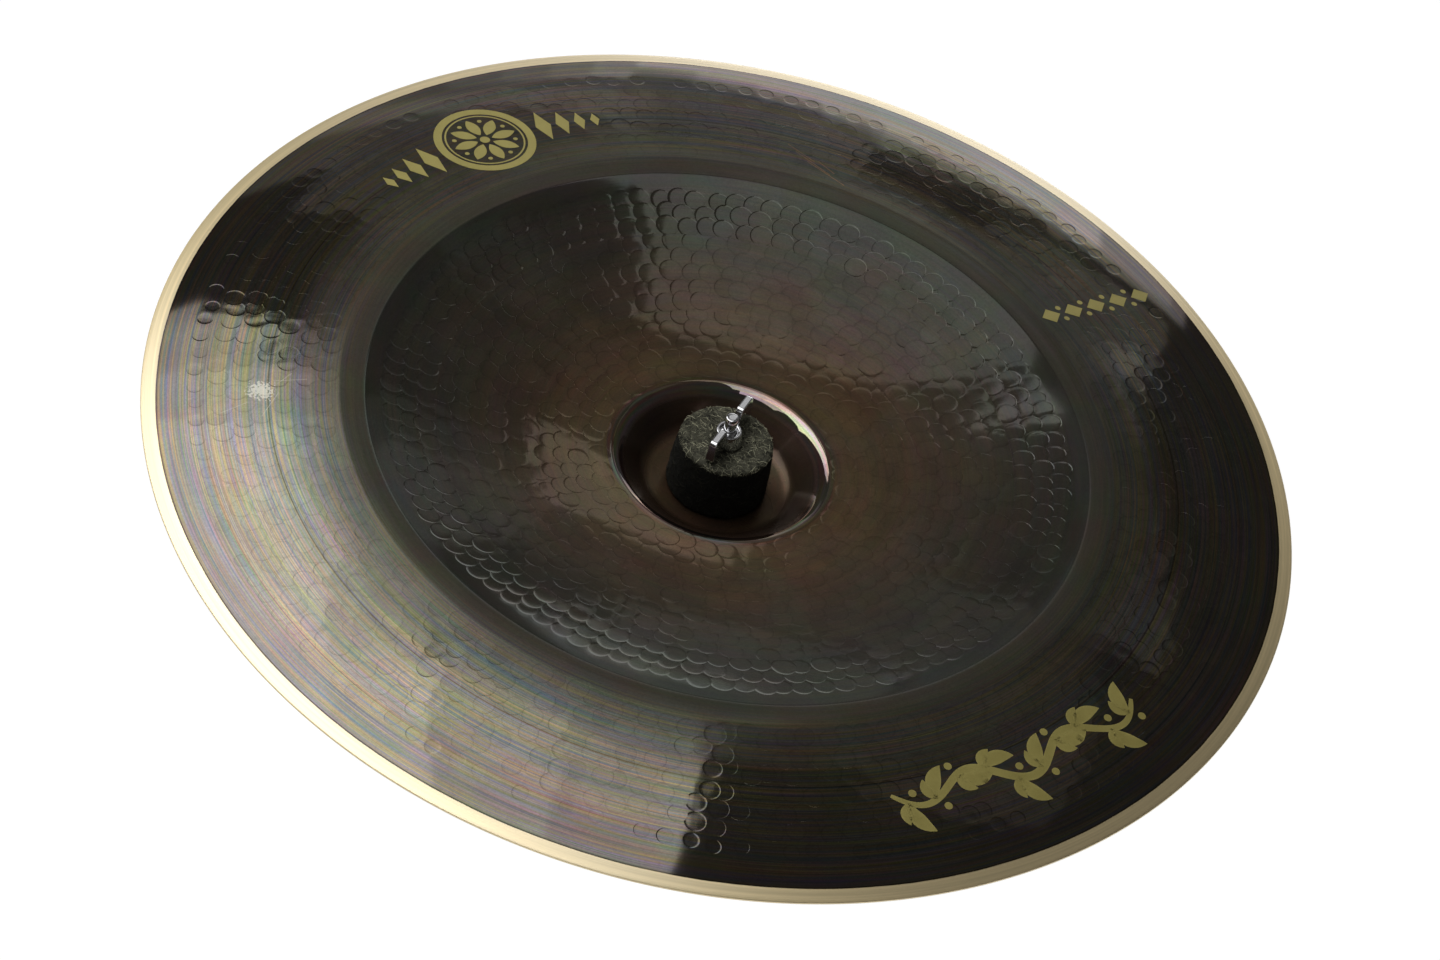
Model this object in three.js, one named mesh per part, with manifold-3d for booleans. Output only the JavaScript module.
// An 18 inch china cymbal on its mounting post, bell down, as a drummer hangs it.
// The post carries a nylon sleeve, a steel seat washer and a felt. The cymbal's bell rests on that felt,
// a tall felt stands in the bell's cup, and a wing nut on the post's M6 thread holds the stack together.
// Units are millimetres and degrees. Z is up, and the origin is the centre of the post's lower end.
import * as THREE from 'three';
import { mergeVertices } from 'three/addons/utils/BufferGeometryUtils.js';
import Module from 'manifold-3d';

const wasm = await Module();
wasm.setup();

const degree = Math.PI / 180;
const rightAngle = 90;
const halfTurn = 180;

// Gap left between two pieces that rest on each other.
const seatGap = 0.3;
// How far a cutting tool runs past the face that it cuts.
const cutOverrun = 2;

// Cymbal plate. Heights are measured from the level of its edge.
const edgeRadius = 228.6;
const crestRadius = 147.5;
const crestHeight = 12.7;
const ridgeInnerReach = 8.5;
const ridgeInnerDrop = 1.2;
const ridgeOuterReach = 6.1;
const ridgeOuterDrop = 0.4;
const bellFloorRadius = 26;
const bellFloorRise = 1.5;
const bellFootReach = 5;
const bellFootRise = 2.2;
const bellRimRadius = 44;
const bellRimReach = 3.8;
const bellRimRise = 1.7;
const bellRimDrop = 17.6;
const bellDepth = 13.7;
const holeRadius = 6.35;
const plateThickness = 1.0;
const flangeSlopeAtEdge = 14;
const flangeSlopeAtRidge = 8;
const bowSlopeAtRidge = 14;
const bowSlopeAtBell = 4;
const plateSides = 72;

// Mounting post: a plain shank that a stand's clamp grips, and a thinner rod above its shoulder.
const shankRadius = 4.75;
const shankLength = 60;
const shankChamfer = 0.8;
const rodRadius = 3.0;
const threadPitch = 1.0;
const threadDepth = 0.55;
const threadTurns = 12;
const tipRadius = 2.5;
const tipLength = 7.0;
const tipChamfer = 0.35;
const shoulderFillet = 0.5;
const postSides = 24;

// Flanged nylon sleeve on the rod.
const sleeveClearance = 0.2;
const sleeveWall = 1.8;
const sleeveFlangeRadius = 12;
const sleeveFlangeThickness = 2;
const sleeveTopClearance = 1.0;
const sleeveChamfer = 0.4;
const sleeveSides = 32;

// Seat washer and the two felts.
const boreClearance = 0.3;
const washerRadius = 19;
const washerThickness = 1.6;
const washerEdgeRounding = 0.4;
const lowerFeltRadius = 19.5;
const lowerFeltThickness = 12;
const upperFeltFootRadius = 19.8;
const upperFeltTopRadius = 18.6;
const upperFeltTopHeight = 25.2;
const upperFeltBulge = 0.5;
const upperFeltDishRadius = 9;
const upperFeltDishDepth = 1.0;
const feltEdgeRounding = 1.0;
const feltSides = 48;

// Wing nut.
const nutBoreClearance = 0.3;
const hubBaseRadius = 6.3;
const hubBaseHeight = 0.9;
const hubTopRadius = 4.95;
const hubHeight = 6.1;
const hubMouthRadius = 3.9;
const hubMouthDepth = 0.7;
const wingReach = 16.6;
const wingInnerReach = 7.0;
const wingHeight = 12.0;
const wingCornerRadius = 1.3;
const wingTopThickness = 2.3;
const wingFootThickness = 3.7;
const wingEdgeRounding = 0.3;
const wingHeading = 74;
const hubSides = 36;

// The levels up the post at which the pieces of the stack sit.
const sleeveRadius = rodRadius + sleeveClearance + sleeveWall;
const boreRadius = sleeveRadius + boreClearance;
const flangeFoot = shankLength + seatGap;
const washerFoot = flangeFoot + sleeveFlangeThickness + seatGap;
const lowerFeltFoot = washerFoot + washerThickness + seatGap;
const plateUnderside = lowerFeltFoot + lowerFeltThickness + seatGap;
const bellFloor = plateUnderside + plateThickness;
const bellRim = bellFloor + bellDepth;
const crest = bellRim + bellRimDrop;
const edgeLevel = crest - crestHeight;
const upperFeltTop = bellFloor + upperFeltTopHeight;
const nutFoot = upperFeltTop - upperFeltDishDepth + seatGap;
const rodTop = nutFoot + hubHeight + tipLength;

// A solid of revolution about Z. The outline is [radius, height] points, anticlockwise round the metal.
function turned(outline, sides) {
  const points = outline.map(([radius, height]) => new THREE.Vector2(radius, height));
  const geometry = new THREE.LatheGeometry(points, sides);
  geometry.rotateX(rightAngle * degree);
  return geometry;
}

// Points on a cubic that leaves one [radius, height] point at a slope and meets the next at another.
function swept(from, slopeFrom, to, slopeTo, steps) {
  const run = to[0] - from[0];
  const points = [];
  for (let step = 1; step <= steps; step += 1) {
    const t = step / steps;
    const rest = 1 - t;
    const height = rest * rest * (1 + 2 * t) * from[1] + t * t * (1 + 2 * rest) * to[1]
      + run * t * rest * (rest * Math.tan(slopeFrom) - t * Math.tan(slopeTo));
    points.push([from[0] + run * t, height]);
  }
  return points;
}

// Points on the quarter circle that starts at one angle and turns anticlockwise.
function rounded(centre, radius, fromAngle) {
  const steps = 2;
  const points = [];
  for (let step = 0; step <= steps; step += 1) {
    const angle = (fromAngle + rightAngle * step / steps) * degree;
    points.push([centre[0] + radius * Math.cos(angle), centre[1] + radius * Math.sin(angle)]);
  }
  return points;
}

// The bell's floor is a shallow cap of a sphere, hollow side up.
const bellSphereRadius = (bellFloorRadius ** 2 + bellFloorRise ** 2) / (2 * bellFloorRise);

function bellHeight(radius) {
  return bellFloor + bellSphereRadius - Math.sqrt(bellSphereRadius ** 2 - radius ** 2);
}

// The plate's upper face from the hole to the edge.
function plateFace() {
  const floorSteps = 4;
  const wallFootSteps = 2;
  const rimSteps = 3;
  const bowSteps = 5;
  const ridgeSteps = 2;
  const flangeSteps = 5;
  const floorSlope = Math.asin(bellFloorRadius / bellSphereRadius);
  const bowSlopeInside = bowSlopeAtBell * degree;
  const bowSlopeOutside = bowSlopeAtRidge * degree;
  const flangeSlopeInside = -flangeSlopeAtRidge * degree;
  const flangeSlopeOutside = -flangeSlopeAtEdge * degree;
  const wallFoot = [bellFloorRadius + bellFootReach, bellFloor + bellFloorRise + bellFootRise];
  const wallTop = [bellRimRadius - bellRimReach, bellRim - bellRimRise];
  const wallSlope = Math.atan2(wallTop[1] - wallFoot[1], wallTop[0] - wallFoot[0]);
  const bowStart = [bellRimRadius, bellRim];
  const bowEnd = [crestRadius - ridgeInnerReach, crest - ridgeInnerDrop];
  const ridgeTop = [crestRadius, crest];
  const flangeStart = [crestRadius + ridgeOuterReach, crest - ridgeOuterDrop];
  const edge = [edgeRadius, edgeLevel];
  const face = [];
  for (let step = 0; step <= floorSteps; step += 1) {
    const radius = holeRadius + (bellFloorRadius - holeRadius) * step / floorSteps;
    face.push([radius, bellHeight(radius)]);
  }
  face.push(
    ...swept(face.at(-1), floorSlope, wallFoot, wallSlope, wallFootSteps),
    wallTop,
    ...swept(wallTop, wallSlope, bowStart, bowSlopeInside, rimSteps),
    ...swept(bowStart, bowSlopeInside, bowEnd, bowSlopeOutside, bowSteps),
    ...swept(bowEnd, bowSlopeOutside, ridgeTop, 0, ridgeSteps),
    ...swept(ridgeTop, 0, flangeStart, flangeSlopeInside, ridgeSteps),
    ...swept(flangeStart, flangeSlopeInside, edge, flangeSlopeOutside, flangeSteps),
  );
  return face;
}

// The same face moved square to itself by the plate's thickness.
function plateBack(face) {
  return face.map(([radius, height], place) => {
    const before = face[Math.max(place - 1, 0)];
    const after = face[Math.min(place + 1, face.length - 1)];
    const slope = Math.atan2(after[1] - before[1], after[0] - before[0]);
    return [radius + plateThickness * Math.sin(slope), height - plateThickness * Math.cos(slope)];
  });
}

// The back's ends are brought level with the hole's wall and the edge.
function cymbalPlate() {
  const face = plateFace();
  const back = plateBack(face);
  back[0][0] = holeRadius;
  back.at(-1)[0] = edgeRadius;
  return turned([...back, ...face.reverse(), back[0]], plateSides);
}

function mountingPost() {
  const threadTop = rodTop - tipLength;
  const threadFoot = threadTop - threadTurns * threadPitch;
  const rootRadius = rodRadius - threadDepth;
  const outline = [
    [0, 0],
    [shankRadius - shankChamfer, 0],
    [shankRadius, shankChamfer],
    [shankRadius, shankLength - shoulderFillet],
    [shankRadius - shoulderFillet, shankLength],
    [rodRadius, shankLength],
  ];
  for (let turn = 0; turn < threadTurns; turn += 1) {
    const crest = threadFoot + turn * threadPitch;
    outline.push([rodRadius, crest], [rootRadius, crest + threadPitch / 2]);
  }
  outline.push(
    [tipRadius, threadTop],
    [tipRadius, rodTop - tipChamfer],
    [tipRadius - tipChamfer, rodTop],
    [0, rodTop],
  );
  return turned(outline, postSides);
}

function flangedSleeve() {
  const inner = rodRadius + sleeveClearance;
  const flangeTop = flangeFoot + sleeveFlangeThickness;
  const top = nutFoot - sleeveTopClearance;
  return turned([
    [inner, flangeFoot],
    [sleeveFlangeRadius - sleeveChamfer, flangeFoot],
    [sleeveFlangeRadius, flangeFoot + sleeveChamfer],
    [sleeveFlangeRadius, flangeTop - sleeveChamfer],
    [sleeveFlangeRadius - sleeveChamfer, flangeTop],
    [sleeveRadius, flangeTop],
    [sleeveRadius, top - sleeveChamfer],
    [sleeveRadius - sleeveChamfer, top],
    [inner, top],
    [inner, flangeFoot],
  ], sleeveSides);
}

function seatWasher() {
  const top = washerFoot + washerThickness;
  const rim = washerRadius - washerEdgeRounding;
  return turned([
    [boreRadius, washerFoot],
    [rim, washerFoot],
    [washerRadius, washerFoot + washerEdgeRounding],
    [washerRadius, top - washerEdgeRounding],
    [rim, top],
    [boreRadius, top],
    [boreRadius, washerFoot],
  ], feltSides);
}

// The lower felt's top is pressed into a dish by the bell that stands in it.
function lowerFelt() {
  const dishSteps = 4;
  const underBell = (radius) => bellHeight(radius) - plateThickness - seatGap;
  const rim = lowerFeltRadius - feltEdgeRounding;
  const outline = [
    [boreRadius, lowerFeltFoot],
    ...rounded([rim, lowerFeltFoot + feltEdgeRounding], feltEdgeRounding, -rightAngle),
    ...rounded([rim, underBell(rim) - feltEdgeRounding], feltEdgeRounding, 0),
  ];
  for (let step = 1; step <= dishSteps; step += 1) {
    const radius = rim + (boreRadius - rim) * step / dishSteps;
    outline.push([radius, underBell(radius)]);
  }
  outline.push([boreRadius, lowerFeltFoot]);
  return turned(outline, feltSides);
}

// The tall felt's foot fills the bell's floor, and the wing nut presses a shallow dish into its top.
function upperFelt() {
  const footSteps = 4;
  const sideSteps = 4;
  const onBell = (radius) => bellHeight(radius) + seatGap;
  const footRim = upperFeltFootRadius - feltEdgeRounding;
  const sideFoot = onBell(footRim) + feltEdgeRounding;
  const sideTop = upperFeltTop - feltEdgeRounding;
  const outline = [];
  for (let step = 0; step <= footSteps; step += 1) {
    const radius = boreRadius + (footRim - boreRadius) * step / footSteps;
    outline.push([radius, onBell(radius)]);
  }
  for (let step = 0; step <= sideSteps; step += 1) {
    const t = step / sideSteps;
    const taper = upperFeltFootRadius + (upperFeltTopRadius - upperFeltFootRadius) * t;
    const bulge = upperFeltBulge * Math.sin(halfTurn * degree * t);
    outline.push([taper + bulge, sideFoot + (sideTop - sideFoot) * t]);
  }
  outline.push(
    [upperFeltTopRadius - feltEdgeRounding, upperFeltTop],
    [upperFeltDishRadius, upperFeltTop],
    [hubBaseRadius + seatGap, upperFeltTop - upperFeltDishDepth],
    [boreRadius, upperFeltTop - upperFeltDishDepth],
    [boreRadius, onBell(boreRadius)],
  );
  return turned(outline, feltSides);
}

function solidOf(geometry) {
  const bare = geometry.clone();
  bare.deleteAttribute('normal');
  bare.deleteAttribute('uv');
  const merged = mergeVertices(bare);
  return new wasm.Manifold(new wasm.Mesh({
    numProp: 3,
    vertProperties: new Float32Array(merged.attributes.position.array),
    triVerts: new Uint32Array(merged.index.array),
  }));
}

function geometryOf(solid) {
  const mesh = solid.getMesh();
  const geometry = new THREE.BufferGeometry();
  const corners = new Float32Array(mesh.vertProperties);
  geometry.setAttribute('position', new THREE.BufferAttribute(corners, 3));
  geometry.setIndex(new THREE.BufferAttribute(new Uint32Array(mesh.triVerts), 1));
  geometry.computeVertexNormals();
  return geometry;
}

// One wing, seen from its broad side: square shoulders and an inner edge that leans out from the hub.
// The bevel widens the outline by its own size. The wing is cast with draft, so it thickens downwards.
function wing() {
  const outline = new THREE.Shape();
  const foot = upperFeltDishDepth + wingEdgeRounding;
  const outer = wingReach - wingEdgeRounding;
  const top = wingHeight - wingEdgeRounding;
  const cornerPlace = outer - wingCornerRadius;
  outline.moveTo(0, foot);
  outline.lineTo(cornerPlace, foot);
  outline.absarc(cornerPlace, foot + wingCornerRadius, wingCornerRadius, -rightAngle * degree, 0, false);
  outline.lineTo(outer, top - wingCornerRadius);
  outline.absarc(cornerPlace, top - wingCornerRadius, wingCornerRadius, 0, rightAngle * degree, false);
  outline.lineTo(wingInnerReach, top);
  outline.lineTo(hubTopRadius, hubHeight - wingEdgeRounding);
  outline.lineTo(0, hubHeight - wingEdgeRounding);
  const flat = wingTopThickness - 2 * wingEdgeRounding;
  const geometry = new THREE.ExtrudeGeometry(outline, {
    depth: flat,
    curveSegments: 4,
    bevelEnabled: true,
    bevelThickness: wingEdgeRounding,
    bevelSize: wingEdgeRounding,
    bevelSegments: 1,
  });
  geometry.translate(0, 0, -flat / 2);
  geometry.rotateX(rightAngle * degree);
  const place = geometry.attributes.position;
  for (let vertex = 0; vertex < place.count; vertex += 1) {
    const down = 1 - place.getZ(vertex) / wingHeight;
    const draft = 1 + (wingFootThickness / wingTopThickness - 1) * down;
    place.setY(vertex, place.getY(vertex) * draft);
  }
  return geometry;
}

function wingNut() {
  const bore = rodRadius + nutBoreClearance;
  const hub = turned([
    [0, 0],
    [hubBaseRadius, 0],
    [hubBaseRadius, hubBaseHeight],
    [hubTopRadius, hubHeight],
    [0, hubHeight],
  ], hubSides);
  const boreTool = turned([
    [0, -cutOverrun],
    [bore, -cutOverrun],
    [bore, hubHeight - hubMouthDepth],
    [hubMouthRadius, hubHeight],
    [hubMouthRadius, hubHeight + cutOverrun],
    [0, hubHeight + cutOverrun],
  ], hubSides);
  const oneWing = wing();
  const otherWing = oneWing.clone().rotateZ(halfTurn * degree);
  const nut = solidOf(hub).add(solidOf(oneWing)).add(solidOf(otherWing)).subtract(solidOf(boreTool));
  const geometry = geometryOf(nut);
  geometry.rotateZ(wingHeading * degree);
  geometry.translate(0, 0, nutFoot);
  return geometry;
}

const darkBronze = { color: 0x2b2723, roughness: 0.25, metalness: 1.0 };
const chromePlate = { color: 0xcfd0d2, roughness: 0.12, metalness: 1.0 };
const zincSteel = { color: 0xa7a8a8, roughness: 0.35, metalness: 1.0 };
const greyWool = { color: 0x4b4b45, roughness: 0.95, metalness: 0.0 };
const blackNylon = { color: 0x1b1b1c, roughness: 0.55, metalness: 0.0 };

const chinaCymbal = new THREE.Group();

function place(name, geometry, look) {
  const mesh = new THREE.Mesh(geometry, new THREE.MeshStandardMaterial(look));
  mesh.name = name;
  chinaCymbal.add(mesh);
}

place('cymbal', cymbalPlate(), darkBronze);
place('upper_felt', upperFelt(), greyWool);
place('wing_nut', wingNut(), chromePlate);
place('mounting_post', mountingPost(), zincSteel);
place('flanged_sleeve', flangedSleeve(), blackNylon);
place('seat_washer', seatWasher(), zincSteel);
place('lower_felt', lowerFelt(), greyWool);

export default chinaCymbal;
